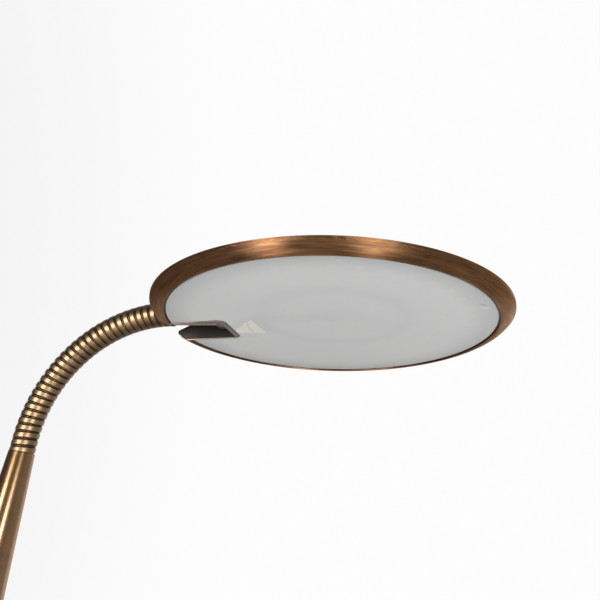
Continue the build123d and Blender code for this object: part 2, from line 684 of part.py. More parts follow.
def lead_seal():
    lobe = disc(SEAL_RADIUS, BOARD_BOTTOM - SEAL_HEIGHT, BOARD_BOTTOM)
    seal = lobe + Pos(SEAL_LOBE_STEP, SEAL_LOBE_SIDE, 0) * lobe
    seal = Pos(SEAL_FROM_SLOT - SLOT_END, SEAL_SIDE, 0) * seal
    return fillet(seal.edges().group_by(Axis.Z)[0], SEAL_EDGE)


def main():
    os.makedirs("parts", exist_ok=True)
    save("base_cover", base_cover())
    save("base_weight", base_weight())
    save("base_plate", base_plate())
    save("base_pad", base_pad())
    save("plate_screws", plate_screws())
    save("base_spacer", ring(SPACER_RADIUS, ROD_RADIUS + SEAT_GAP, WEIGHT_TOP, COVER_UNDERSIDE))
    save("driver", block(DRIVER_SIZE, 0, DRIVER_CENTRE_Y, PLATE_TOP))
    save("terminal_block", block(TERMINAL_SIZE, TERMINAL_CENTRE_X, 0, PLATE_TOP))
    save("cord_gland", cord_gland())
    save("gland_nut", gland_nut())
    for name, piece in (
        ("switch_body", switch_body()),
        ("switch_bezel", switch_bezel()),
        ("switch_button", switch_button()),
        ("switch_spring", switch_spring()),
    ):
        save(name, SWITCH_PLACE * piece)
    save("stem_cone", stem_cone())
    save("stem_foot", stem_foot())
    save("stem_rod", stem_rod())
    washer_foot = NUT_RECESS_TOP - ROD_WASHER
    save("rod_washer", ring(ROD_WASHER_RADIUS, ROD_RADIUS + SEAT_GAP, washer_foot, NUT_RECESS_TOP))
    save("rod_nut", rod_nut())
    save("stem_lead", disc(LEAD_RADIUS, PLATE_TOP + ROD_END_GAP, STEM_TOP + SPIGOT_LENGTH))
    save("neck_socket", neck_socket())
    links = link_ends()
    cut = WIRE_CUT / (2 * 2 * math.pi * WIRE_CENTRE_RADIUS)
    for number, (first, last) in enumerate(links):
        start = first if number == 0 else first + cut
        end = last if number == len(links) - 1 else last - cut
        save(f"neck_coil_{number:02d}", coil_link(start, end))
    save("neck_lead", neck_lead())
    save("neck_sleeve", SLEEVE_PLACE * neck_sleeve())
    save("hinge_barrel", SLEEVE_PLACE * hinge_barrel())
    for name, piece in (
        ("hinge_pin", hinge_pin()),
        ("hinge_washers", hinge_washers()),
        ("hinge_bracket", hinge_bracket()),
        ("bracket_screws", bracket_screws()),
        ("slot_liner", slot_liner()),
        ("rim_ring", rim_ring()),
        ("top_shell", top_shell()),
        ("shell_bosses", shell_bosses()),
        ("heat_plate", heat_plate()),
        ("led_board", led_board()),
        ("led_chips", led_chips()),
        ("board_screws", board_screws()),
        ("lead_seal", lead_seal()),
        ("spacer_ring", spacer_ring()),
        ("diffuser", diffuser()),
    ):
        save(name, HEAD_PLACE * piece)
    print("least gap between turns of the neck wire, mm:", round(least_wire_gap(), 2))


main()
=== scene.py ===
import bmesh
import bpy
import json
import math
from mathutils import Matrix, Vector


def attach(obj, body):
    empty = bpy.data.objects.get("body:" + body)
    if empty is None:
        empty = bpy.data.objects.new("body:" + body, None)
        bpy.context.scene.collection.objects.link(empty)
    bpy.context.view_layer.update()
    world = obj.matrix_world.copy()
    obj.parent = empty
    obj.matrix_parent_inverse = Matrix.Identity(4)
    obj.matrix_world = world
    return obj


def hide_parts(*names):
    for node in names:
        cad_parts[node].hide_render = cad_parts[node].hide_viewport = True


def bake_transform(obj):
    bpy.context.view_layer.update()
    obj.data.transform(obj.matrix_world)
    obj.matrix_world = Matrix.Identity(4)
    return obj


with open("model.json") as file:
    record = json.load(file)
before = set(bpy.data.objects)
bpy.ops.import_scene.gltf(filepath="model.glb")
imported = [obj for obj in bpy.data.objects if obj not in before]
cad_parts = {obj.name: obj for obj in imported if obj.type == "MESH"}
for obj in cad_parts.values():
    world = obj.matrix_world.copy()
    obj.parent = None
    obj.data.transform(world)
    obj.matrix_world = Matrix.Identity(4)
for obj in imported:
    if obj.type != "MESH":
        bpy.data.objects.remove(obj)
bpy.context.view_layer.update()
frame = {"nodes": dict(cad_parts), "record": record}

# Table lamp. The measures of its pieces are in millimetres and degrees, as on a drawing, and MM turns
# millimetres into metres. A section lists (radius, height) round the metal of a turned piece.
MM = 0.001

# Stem: a hollow cone
STEM_FOOT = 24.0
STEM_TOP = 304.0
STEM_BORE = 6.3
STEM_SECTION = [
    (22.27, STEM_FOOT),
    (7.6, STEM_TOP),
    (STEM_BORE, STEM_TOP),
    (STEM_BORE, 296.0),
    (20.9, STEM_FOOT),
]
STEM_EDGE = 0.55
STEM_SEGMENTS = 128

# Neck: a straight run on top of the stem, then an arc towards the head
NECK_STRAIGHT = 7.7
NECK_BEND = 84.0
NECK_ANGLE = 86.15
NECK_TURN = math.radians(NECK_ANGLE)
NECK_LENGTH = NECK_STRAIGHT + NECK_BEND * NECK_TURN
NECK_COLUMNS = 72
SIDEWAYS = Vector((0, 1, 0))

# Its winding: flat-topped ribs with rounded shoulders. A thin inner wire shows in the wider grooves.
COIL_FOOT = -2.0
COIL_START = 1.7
COIL_TURNS = 30.0
COIL_PITCH = (NECK_LENGTH - 2 * COIL_START) / COIL_TURNS
RIB_TOP = 7.4
RIB_HALF_WIDTH = 1.55
RIB_CROWN = 0.02
RIB_SQUARENESS = 12
RIB_STEPS = (0.0, 0.3, 0.55, 0.73, 0.84, 0.91, 0.96, 0.985, 1.0)
GROOVE_FLOOR = 6.6
GROOVE_STEPS = (0.18, 0.36, 0.5, 0.66, 0.84, 1.0)
RIB_DEPTH = RIB_TOP - GROOVE_FLOOR
INNER_WIRE_TOP = 7.3
INNER_WIRE_HALF = 0.3
INNER_WIRE_HIDDEN = 0.35
INNER_WIRE_RISE = 0.25

# Rows of the winding lean by one turn, so a span has spare ones, which fall onto its ends
SPARE_TURNS_BEFORE = 2
SPARE_TURNS_AFTER = 1

# Joints of the neck, in turns of the winding. Bends and sways alternate, and the first is a bend.
JOINT_COUNT = 13
FIRST_JOINT = 1.75
JOINT_SPACING = 2.25

# At a bend, a tongue of one span lies under the next
TUCK_LENGTH = 1.1
TUCK_DEPTH = 0.12
TUCK_ROWS = 9

# Lead in the neck. Each link's span ends in a thinner peg inside the next.
LEAD_RADIUS = 2.2
LEAD_COLUMNS = 16
LEAD_STEPS = 4
LEAD_START = 6.0
LEAD_END = NECK_LENGTH - LEAD_START
LEAD_SHOULDER = 0.55
PEG_RADIUS = 1.9
PEG_LENGTH = 0.6
PEG_ROOT = 0.4

# Sleeve on the neck's end
SLEEVE_RADIUS = 6.8
SLEEVE_BORE = 2.6
SLEEVE_START = 0.2
SLEEVE_LENGTH = 28.4
SLEEVE_SECTION = [
    (SLEEVE_RADIUS, SLEEVE_START),
    (SLEEVE_RADIUS, SLEEVE_LENGTH),
    (SLEEVE_BORE, SLEEVE_LENGTH),
    (SLEEVE_BORE, SLEEVE_START),
]
SLEEVE_EDGE = 0.3
SLEEVE_SEGMENTS = 96

# Head: the rim ring with its lip and band, and the top shell. It rises from the line of the sleeve, and
# the middle of its underside is placed from the tilt pin.
HEAD_RADIUS = 100.0
HEAD_SEGMENTS = 288
HEAD_RISE = 3.08
PIN_TO_HEAD = Vector((67.5, 0, -10.45))
LIP_RADIUS = 93.5
LIP_INNER = 91.9
LIP_THICKNESS = 1.0
RIM_HEIGHT = 4.5
SHELL_FOOT = 6.4
RIM_SECTION = [
    (LIP_INNER, 0.0),
    (LIP_RADIUS, 0.0),
    (94.45, 0.3),
    (95.45, 0.72),
    (96.4, 1.21),
    (97.25, 1.77),
    (98.05, 2.42),
    (98.78, 3.15),
    (99.42, 3.93),
    (HEAD_RADIUS, RIM_HEIGHT),
    (HEAD_RADIUS, SHELL_FOOT),
    (98.8, SHELL_FOOT),
    (97.89, RIM_HEIGHT),
    (92.84, LIP_THICKNESS),
    (LIP_INNER, LIP_THICKNESS),
]
RIM_EDGE = 0.45
SHELL_SECTION = [
    (0.0, 14.5),
    (86.0, 12.6),
    (99.7, SHELL_FOOT),
    (98.5, SHELL_FOOT),
    (84.8, 11.4),
    (0.0, 13.3),
]
SHELL_EDGE = 0.9

# Slot in the head, and how far the block that cuts it stands out of the head
SLOT_END = 59.15
SLOT_HALF = 14.2
SLOT_SKIN = 1.1
SLOT_CORNER = 4.1
SLOT_CORNER_STEPS = 8
CUTTER_REACH = 20.0
CUTTER_HEIGHTS = (-20.0, 40.0)


def neck_middle(straight, turn):
    across = NECK_BEND * (1 - math.cos(turn))
    return Vector((across, 0, STEM_TOP + straight + NECK_BEND * math.sin(turn)))


# Places of the sleeve, the tilt pin and the head
NECK_END = neck_middle(NECK_STRAIGHT, NECK_TURN)
PIVOT = NECK_END + SLEEVE_LENGTH * Vector((math.sin(NECK_TURN), 0, math.cos(NECK_TURN)))
HEAD_TILT = math.radians(90 - NECK_ANGLE + HEAD_RISE)
HEAD_PLACE = (
    Matrix.Translation(PIVOT * MM)
    @ Matrix.Rotation(-HEAD_TILT, 4, "Y")
    @ Matrix.Translation(PIN_TO_HEAD * MM)
)
SLEEVE_PLACE = Matrix.Translation(NECK_END * MM) @ Matrix.Rotation(NECK_TURN, 4, "Y")

# Meshes: how near points are welded, in metres, which edges stay sharp, and how an edge is softened:
# by a curve of some steps, over no more than a share of the sides next to it
WELD_GAP = 1e-6
SHARP_ANGLE = 35.0
SOFT_STEPS = 4
SOFT_SHARE = 0.45

# Camera: its spot and near limit in metres, its angles in degrees, its lens and sensor in millimetres
CAMERA_SPOT = Vector((0.28697, -0.38234, 0.26943))
CAMERA_HEADING = 19.05
CAMERA_RISE = 19.02
CAMERA_ROLL = -9.61
CAMERA_LENS = 45.0
CAMERA_SENSOR = 36.0
CAMERA_NEAR = 0.01

# Softboxes: name, x, y, width and height in metres, and brightness. They face the lamp's middle.
SOFTBOXES = [
    ("left_softbox", -0.275, -1.12, 0.36, 0.5, 46.0),
    ("right_softbox", 0.83, -0.85, 0.24, 0.5, 44.0),
    ("back_softbox", 0.4, 1.35, 0.75, 1.1, 0.8),
]
SOFTBOX_LIFT = 0.02
LAMP_MIDDLE = 0.1

# Room: its plain light, the paper that the camera sees, and the backdrop that metal mirrors
ROOM_LIGHT = 0.3
PAPER_WHITE = 0.985
PAPER_FALL = 0.08
PAPER_FADE = (-0.35, -0.68)
BACKDROP_WAY = (0.5, 0.87)
BACKDROP_FADE = (-0.3, 0.8)
BACKDROP_TONES = (0.22, 1.0)

# Floor, in metres. It fades into the paper between two distances from the lamp.
FLOOR_RADIUS = 1.3
FLOOR_LEVEL = -0.0002
FLOOR_SEGMENTS = 96
FLOOR_FADE = (0.45, 1.25)
FLOOR_GLOW = 0.96


# Shader maths as plain arithmetic
class Shade:
    def __init__(self, tree, socket):
        self.tree = tree
        self.socket = socket

    def maths(self, operation, left, right=0.0):
        return Wiring(self.tree).node("ShaderNodeMath", {"operation": operation}, {0: left, 1: right})

    def __add__(self, other):
        return self.maths("ADD", self, other)

    def __sub__(self, other):
        return self.maths("SUBTRACT", self, other)

    def __rsub__(self, other):
        return self.maths("SUBTRACT", other, self)

    def __mul__(self, other):
        return self.maths("MULTIPLY", self, other)

    def __truediv__(self, other):
        return self.maths("DIVIDE", self, other)

    def __rtruediv__(self, other):
        return self.maths("DIVIDE", other, self)

    def __pow__(self, other):
        return self.maths("POWER", self, other)

    def __rpow__(self, other):
        return self.maths("POWER", other, self)

    def __abs__(self):
        return self.maths("ABSOLUTE", self)

    __radd__ = __add__
    __rmul__ = __mul__


def feed(tree, value, socket):
    if isinstance(value, Shade):
        tree.links.new(value.socket, socket)
    else:
        socket.default_value = value


# Nodes: the type, its settings, then the values or links of its sockets
class Wiring:
    def __init__(self, tree):
        self.tree = tree

    def node(self, kind, settings, inputs, output=0):
        made = self.tree.nodes.new(kind)
        for key, value in settings.items():
            setattr(made, key, value)
        for key, value in inputs.items():
            feed(self.tree, value, made.inputs[key])
        return Shade(self.tree, made.outputs[output])

    def parts(self, vector):
        return [self.node("ShaderNodeSeparateXYZ", {}, {0: vector}, axis) for axis in "XYZ"]

    def vector(self, x, y, z):
        return self.node("ShaderNodeCombineXYZ", {}, {0: x, 1: y, 2: z})

    def mix(self, factor, dark, light):
        settings = {"data_type": "RGBA"}
        return self.node("ShaderNodeMix", settings, {0: factor, 6: dark, 7: light}, 2)

    def band(self, value, low, high, start=0.0, end=1.0):
        settings = {"interpolation_type": "SMOOTHSTEP"}
        inputs = {"Value": value, 1: low, 2: high, 3: start, 4: end}
        return self.node("ShaderNodeMapRange", settings, inputs)


class Finish(Wiring):
    def __init__(self, name):
        self.material = bpy.data.materials.new(name)
        self.material.use_nodes = True
        super().__init__(self.material.node_tree)
        self.shader = self.tree.nodes["Principled BSDF"]

    def local(self):
        return self.node("ShaderNodeTexCoord", {}, {}, "Object")

    def head_local(self):
        inputs = {
            "Vector": self.local(),
            "Location": HEAD_PLACE.translation,
            "Rotation": HEAD_PLACE.to_euler(),
        }
        return self.node("ShaderNodeMapping", {"vector_type": "TEXTURE"}, inputs)

    def noise(self, scale, detail=2.0, rough=0.5, place=None):
        vector = self.local() if place is None else place
        inputs = {"Vector": vector, "Scale": scale, "Detail": detail, "Roughness": rough}
        return self.node("ShaderNodeTexNoise", {}, inputs, "Fac")

    def grit(self, scale, detail=3.0):
        return self.noise(scale, detail, rough=0.6)

    def tone(self, noise, spread=0.15):
        return self.band(noise, 0.5 - spread, 0.5 + spread)

    def bump(self, height, strength, depth):
        inputs = {"Strength": strength, "Distance": depth, "Height": height}
        return self.node("ShaderNodeBump", {}, inputs)

    def give(self, **values):
        for key, value in values.items():
            feed(self.tree, value, self.shader.inputs[key.replace("_", " ")])
        return self.material


def rgb(red, green, blue):
    return (red, green, blue, 1.0)


def grey(value):
    return rgb(value, value, value)


# Mesh makers
def round_steps(count):
    angles = [2 * math.pi * i / count for i in range(count)]
    return [(math.cos(angle), math.sin(angle)) for angle in angles]


def mesh_object(name, points, faces, place=None):
    mesh = bpy.data.meshes.new(name)
    mesh.from_pydata([tuple(p) for p in points], [], faces)
    mesh.validate()
    made = bpy.data.objects.new(name, mesh)
    bpy.context.scene.collection.objects.link(made)
    if place is not None:
        made.matrix_world = place
    return made


def weld(made):
    work = bmesh.new()
    work.from_mesh(made.data)
    bmesh.ops.remove_doubles(work, verts=work.verts, dist=WELD_GAP)
    bmesh.ops.dissolve_degenerate(work, edges=work.edges, dist=WELD_GAP / 10)
    bmesh.ops.recalc_face_normals(work, faces=work.faces)
    work.to_mesh(made.data)
    work.free()


def smooth(made):
    made.data.shade_smooth()
    made.data.set_sharp_from_angle(angle=math.radians(SHARP_ANGLE))


def soften(section, edge):
    soft = []
    count = len(section)
    for i, point in enumerate(section):
        here = Vector(point)
        before = Vector(section[i - 1]) - here
        after = Vector(section[(i + 1) % count]) - here
        reach = min(edge, SOFT_SHARE * before.length, SOFT_SHARE * after.length)
        first = here + before.normalized() * reach
        last = here + after.normalized() * reach
        for k in range(SOFT_STEPS + 1):
            t = k / SOFT_STEPS
            soft.append(first * (1 - t) ** 2 + here * 2 * t * (1 - t) + last * t ** 2)
    return soft


def turned(name, section, edge, segments, place=None):
    profile = soften(section, edge)
    points = [
        Vector((radius * cos, radius * sin, height)) * MM
        for cos, sin in round_steps(segments)
        for radius, height in profile
    ]
    count = len(profile)
    faces = []
    for i in range(segments):
        here = i * count
        there = (i + 1) % segments * count
        for j in range(count):
            k = (j + 1) % count
            faces.append((here + j, there + j, there + k, here + k))
    made = mesh_object(name, points, faces, place)
    weld(made)
    return made


def slot_block():
    half = SLOT_HALF + SLOT_SKIN
    end = SLOT_SKIN - SLOT_END
    outline = [(-HEAD_RADIUS - CUTTER_REACH, half)]
    for k in range(SLOT_CORNER_STEPS + 1):
        angle = math.pi / 2 * (1 - k / SLOT_CORNER_STEPS)
        corner_x = end - SLOT_CORNER + SLOT_CORNER * math.cos(angle)
        corner_y = half - SLOT_CORNER + SLOT_CORNER * math.sin(angle)
        outline.append((corner_x, corner_y))
    outline += [(x, -y) for x, y in reversed(outline)]
    count = len(outline)
    points = [Vector((x, y, z)) * MM for z in CUTTER_HEIGHTS for x, y in outline]
    faces = [tuple(range(count - 1, -1, -1)), tuple(range(count, 2 * count))]
    for j in range(count):
        k = (j + 1) % count
        faces.append((j, k, count + k, count + j))
    made = mesh_object("slot_cutter", points, faces, HEAD_PLACE)
    weld(made)
    return made


def carve(made, cutter):
    cut = made.modifiers.new("slot", "BOOLEAN")
    cut.operation = "DIFFERENCE"
    cut.solver = "EXACT"
    cut.object = cutter
    bpy.context.view_layer.update()
    shaped = made.evaluated_get(bpy.context.evaluated_depsgraph_get())
    result = bpy.data.meshes.new_from_object(shaped)
    made.modifiers.clear()
    made.data = result


# Neck: lengths run along its middle line from the stem's top
def neck_station(length):
    turn = max(0.0, length - NECK_STRAIGHT) / NECK_BEND
    middle = neck_middle(min(length, NECK_STRAIGHT), turn)
    return middle, Vector((math.cos(turn), 0, -math.sin(turn)))


def neck_point(length, cos, sin, radius):
    middle, inward = neck_station(length)
    return (middle + (inward * cos + SIDEWAYS * sin) * radius) * MM


def coil_length(turns):
    return COIL_START + COIL_PITCH * turns


def coil_turns(length):
    return (length - COIL_START) / COIL_PITCH


# The winding's radius at a distance from the middle of a rib
def rib_radius(away, local_pitch):
    away = abs(away)
    if away < RIB_HALF_WIDTH:
        share = away / RIB_HALF_WIDTH
        crown = 1 - RIB_CROWN * share ** 2
        return GROOVE_FLOOR + RIB_DEPTH * crown * (1 - share ** RIB_SQUARENESS) ** 0.5
    groove = local_pitch / 2 - RIB_HALF_WIDTH
    shown = min(max((groove - INNER_WIRE_HIDDEN) / INNER_WIRE_RISE, 0.0), 1.0)
    centre = abs(local_pitch / 2 - away)
    if centre < INNER_WIRE_HALF:
        wire_height = (INNER_WIRE_TOP - GROOVE_FLOOR) * shown
        return GROOVE_FLOOR + wire_height * (1 - (centre / INNER_WIRE_HALF) ** 2) ** 0.5
    return GROOVE_FLOOR


# Where rows of points run along a rib and its grooves, in turns from the middle of the rib
def rib_stops():
    shoulder = RIB_HALF_WIDTH / COIL_PITCH
    groove = 0.5 - shoulder
    side = [shoulder * k for k in RIB_STEPS] + [shoulder + groove * k for k in GROOVE_STEPS]
    return sorted(set([-s for s in side if s < 0.5] + side))


# One point of the winding, from how far round it is, how far along the neck and how far under the
# surface, and how high it is on its rib
def winding_point(share, length, under=0.0):
    angle = 2 * math.pi * share
    cos, sin = math.cos(angle), math.sin(angle)
    phase = coil_turns(length) - share
    bent = 1.0 if length < NECK_STRAIGHT else 1.0 - RIB_TOP * cos / NECK_BEND
    local_pitch = COIL_PITCH * bent
    radius = rib_radius((phase - round(phase)) * local_pitch, local_pitch)
    return neck_point(length, cos, sin, radius - under), (radius - GROOVE_FLOOR) / RIB_DEPTH


# A span of the winding. A tucked one has a tongue under the next span, so their joint opens no gap.
def neck_skin(name, start, end, tucked=False):
    first_turn = math.floor(coil_turns(start)) - SPARE_TURNS_BEFORE
    last_turn = math.ceil(coil_turns(end)) + SPARE_TURNS_AFTER
    stops = rib_stops()
    rows = [turn + stop for turn in range(first_turn, last_turn + 1) for stop in stops]
    ribs, tongue = [], []
    for i in range(NECK_COLUMNS + 1):
        share = i / NECK_COLUMNS
        for row in rows:
            length = min(max(coil_length(row + share), start), end)
            ribs.append(winding_point(share, length))
        for k in range(TUCK_ROWS if tucked else 0):
            length = end + TUCK_LENGTH * (2 * k / (TUCK_ROWS - 1) - 1)
            tongue.append(winding_point(share, length, TUCK_DEPTH))
    faces, base = [], 0
    for strip in (ribs, tongue):
        count = len(strip) // (NECK_COLUMNS + 1)
        for i in range(NECK_COLUMNS):
            for j in range(count - 1):
                here = base + i * count + j
                faces.append((here, here + count, here + count + 1, here + 1))
        base += len(strip)
    made = mesh_object(name, [point for point, _ in ribs + tongue], faces)
    rib = made.data.attributes.new("rib", "FLOAT", "POINT")
    rib.data.foreach_set("value", [height for _, height in ribs + tongue])
    weld(made)
    made.data.shade_smooth()
    return made


# A link's length of the lead. It ends in a thinner peg inside the next link's, so both turn freely.
def lead_span(name, start, end):
    first, last = max(start, LEAD_START), min(end, LEAD_END)
    pegged = end < LEAD_END
    run = (last - LEAD_SHOULDER if pegged else last) - first
    rings = [(first + run * j / LEAD_STEPS, LEAD_RADIUS) for j in range(LEAD_STEPS + 1)]
    if pegged:
        rings += [(last - PEG_ROOT, PEG_RADIUS), (last + PEG_LENGTH, PEG_RADIUS)]
    points = [
        neck_point(length, cos, sin, radius)
        for length, radius in rings
        for cos, sin in round_steps(LEAD_COLUMNS)
    ]
    last_ring = len(points) - LEAD_COLUMNS
    faces = [tuple(range(last_ring, len(points)))]
    if start < LEAD_START:
        faces.append(tuple(range(LEAD_COLUMNS - 1, -1, -1)))
    for here in range(0, last_ring, LEAD_COLUMNS):
        there = here + LEAD_COLUMNS
        for i in range(LEAD_COLUMNS):
            k = (i + 1) % LEAD_COLUMNS
            faces.append((here + i, here + k, there + k, there + i))
    made = mesh_object(name, points, faces)
    weld(made)
    smooth(made)
    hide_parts("neck_lead")
    return made


# Each link's span rides on its link. Across a bend the spans meet at the joint; across a sway one span covers
# it and rides on neither link.
def make_neck():
    bodies = ["stand"] + [f"neck_link_{i:02d}" for i in range(1, JOINT_COUNT)] + ["neck_end"]
    joints = [coil_length(FIRST_JOINT + JOINT_SPACING * i) for i in range(JOINT_COUNT)]
    ends = [coil_length(0.0)] + joints + [coil_length(COIL_TURNS)]
    middles = [(a + b) / 2 for a, b in zip(ends, ends[1:])]
    skins, leads = [], []
    for k, body in enumerate(bodies):
        after_bend = k % 2 == 1
        if body == "stand":
            skin = neck_skin("neck_winding_foot", COIL_FOOT, joints[0], True)
        elif body == "neck_end":
            skin = neck_skin("neck_winding_tip", joints[-1], NECK_LENGTH)
        elif after_bend:
            skin = neck_skin(f"neck_winding_{k:02d}", joints[k - 1], middles[k])
        else:
            skin = neck_skin(f"neck_winding_{k:02d}", middles[k], joints[k], True)
        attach(skin, body)
        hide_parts(f"neck_coil_{k:02d}")
        skins.append(skin)
        if after_bend and body != "neck_end":
            swayed = neck_skin(f"neck_sway_span_{k:02d}", middles[k], middles[k + 1])
            start, _ = neck_station(middles[k])
            end, _ = neck_station(middles[k + 1])
            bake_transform(swayed)
            skins.append(swayed)
        lead = lead_span(f"neck_lead_{k:02d}", ends[k], ends[k + 1])
        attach(lead, body)
        leads.append(lead)
    return skins, leads


# Turned pieces
def make_stem():
    stem = turned("stem_skin", STEM_SECTION, STEM_EDGE, STEM_SEGMENTS)
    smooth(stem)
    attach(stem, "stand")
    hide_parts("stem_cone")
    return stem


def make_sleeve():
    sleeve = turned("sleeve_skin", SLEEVE_SECTION, SLEEVE_EDGE, SLEEVE_SEGMENTS, SLEEVE_PLACE)
    smooth(sleeve)
    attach(sleeve, "neck_end")
    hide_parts("neck_sleeve")
    return sleeve


def make_rim(cutter):
    rim = turned("rim_skin", RIM_SECTION, RIM_EDGE, HEAD_SEGMENTS, HEAD_PLACE)
    carve(rim, cutter)
    smooth(rim)
    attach(rim, "head")
    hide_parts("rim_ring")
    return rim


def make_shell(cutter):
    shell = turned("shell_skin", SHELL_SECTION, SHELL_EDGE, HEAD_SEGMENTS, HEAD_PLACE)
    carve(shell, cutter)
    smooth(shell)
    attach(shell, "head")
    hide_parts("top_shell")
    return shell


# Finishes. Tones are a dark and a light colour, and depths of bump are in metres.
BRONZE_EDGE_TINT = rgb(0.85, 0.66, 0.55)
RIM_TONES = rgb(0.072, 0.032, 0.018), rgb(0.205, 0.105, 0.045)
STEM_TONES = rgb(0.122, 0.067, 0.03), rgb(0.16, 0.09, 0.042)
SLEEVE_TONES = rgb(0.25, 0.165, 0.135), rgb(0.31, 0.205, 0.165)
# The barrel's satin is darkened as painted shade, so that it merges with the slot's shade
BARREL_SHADE_TONES = rgb(0.07, 0.05, 0.042), rgb(0.09, 0.065, 0.054)
NECK_TONES = rgb(0.1, 0.062, 0.031), rgb(0.158, 0.1, 0.051)
# Near-black painted shade for the neck's grooves
GROOVE_PAINTED_SHADE = rgb(0.008, 0.006, 0.005)
LACQUER_IOR = 1.5
LACQUER_SPREAD = 0.2
AXIS_GUARD = 1e-9

# Brushing: its broad lines are coarser than its fine ones and run further round the piece
BROAD_COARSER = 5
BROAD_TURN = 0.6
BRUSH_ANGLE = 0.25
BRUSH_ROUGH_SPREAD = 0.14

# Noises, in features to the metre, and how many times coarser the blotches of a plain finish are
FINE_GRIT = 900.0
SATIN_GRIT = 1100.0
OPAL_GRIT = 1400.0
BLOTCH_COARSER = 14

# Neck: where on a rib the grooves' painted shade gives way to bronze, how its roughness goes from groove to
# rib, and the rib's lacquer
RIB_FACE_FADE = (0.12, 0.6)
GROOVE_ROUGH = 0.5
RIB_SMOOTHER = 0.12
RIB_LACQUER = 0.2
NECK_GRIT_ROUGH = 0.1

# Slot liner: dark bronze darkened to near black as painted shade, with a painted highlight along its lowest
# edge that is brighter towards the rim. Fades are in metres.
SLOT_SHADE_TONES = rgb(0.008, 0.006, 0.005), rgb(0.014, 0.01, 0.009)
SLOT_EDGE_HIGHLIGHT_TONES = rgb(0.17, 0.142, 0.127), rgb(0.36, 0.25, 0.2)
SLOT_HIGHLIGHT_RUN = (-0.07, -0.085)
SLOT_HIGHLIGHT_FADE = (0.0009, 0.0005)
SLOT_HIGHLIGHT_WANDER = 0.0002
SLOT_METAL = 0.4
SLOT_HIGHLIGHT_METAL = 0.5

# Diffuser, in millimetres from the middle of the head: its colours, and painted shade from what lies behind
# it and along its border.
# An oval is its middle, the angle that it lies at, its half length and its half width. A share is how
# much of a colour is laid over what is under it.
OPAL_TONES = rgb(0.374, 0.379, 0.374), rgb(0.4, 0.406, 0.4)
OPAL_SHADE = rgb(0.16, 0.163, 0.161)
OPAL_SHADE_SHARE = 1.6
SHADE_RING_MIDDLE = (4.0, -8.5)
SHADE_RING_RADIUS = 41.0
SHADE_RING_REACH = 10.0
SHADE_RING_SHARE = 0.05
SHADE_OVALS = [((8.0, -12.0), 10.0, 20.0, 10.0), ((-24.0, -12.0), 8.0, 34.0, 7.0)]
SHADE_OVAL_FADE = (1.2, 0.1)
SHADE_OVAL_SHARE = 0.04
BORDER_SHADE_FADE = (72.0, 91.5)
BORDER_SHADE_SHARE = 0.24
# Painted shade, near black, in the gap between the diffuser and the lip
LIP_GAP = (90.72, 90.78)
LIP_GAP_SHADE = rgb(0.012, 0.01, 0.009)

# LED chips behind it: the radius of a ring, how many chips are on it, and the angle of the first.
# Their fading towards the slot is painted light, and some are fainter than others.
CHIP_TINT = rgb(0.475, 0.38, 0.363)
CHIP_SHARE = 0.5
CHIP_MIDDLE = (1.8, -4.2)
CHIP_RINGS = [(75.5, 36, 3.5), (60.0, 21, 2.4)]
CHIP_WIDTH_FADE = (3.0, 0.6)
CHIP_LENGTH_FADE = (0.1, 0.95)
CHIP_LIGHT_RUN = (-60.0, 55.0)
CHIP_LIGHT_RUN_START = 0.25
CHIP_PATCH_FADE = (0.3, 0.6)
CHIP_PATCH_START = 0.45

# Heap of sealant behind it: two slopes, a straight foot and a curved seam, all a little ragged
HEAP_COLOUR = rgb(0.49, 0.487, 0.425)
HEAP_SHARE = 0.9
HEAP_SHARE_WANDER = 0.6
HEAP_MIDDLE = (-47.32, -0.09)
HEAP_ACROSS = (1.647, 0.576)
HEAP_ACROSS_RAGGED = 5.0
HEAP_DOWN = (-0.087, 0.566)
HEAP_DOWN_RAGGED = 3.0
HEAP_LEFT, HEAP_LEFT_SLOPE = (-12.8, 1.0), (0.595, 0.804)
HEAP_RIGHT, HEAP_RIGHT_SLOPE = (1.5, -7.2), (-0.616, 0.788)
HEAP_SIDE_FADE = (-0.9, 1.1)
HEAP_FOOT_FADE = (6.0, 4.0)
HEAP_SHADE = rgb(0.26, 0.262, 0.255)
HEAP_SHADE_SHARE = 0.16
HEAP_SHADE_OVAL = ((0.0, 0.0), 0.0, 24.0, 11.0)
HEAP_SHADE_FADE = (1.0, 0.3)
SEAM_COLOUR = rgb(0.3, 0.3, 0.25)
SEAM_SHARE = 0.6
SEAM_TOP = (-2.4, -5.5)
SEAM_CURVE = 0.059
SEAM_FADE = (1.3, 0.2)

# Small pale mark and grey dash near the diffuser's free end
LIGHT_MARK = rgb(0.5, 0.5, 0.485)
LIGHT_MARK_SHARE = 0.45
LIGHT_MARK_OVAL = ((85.0, -11.4), 34.0, 3.2, 1.6)
LIGHT_MARK_FADE = (1.1, 0.5)
DARK_MARK = rgb(0.22, 0.228, 0.228)
DARK_MARK_OVAL = ((83.9, -16.2), 34.0, 3.2, 0.9)
DARK_MARK_FADE = (1.1, 0.3)

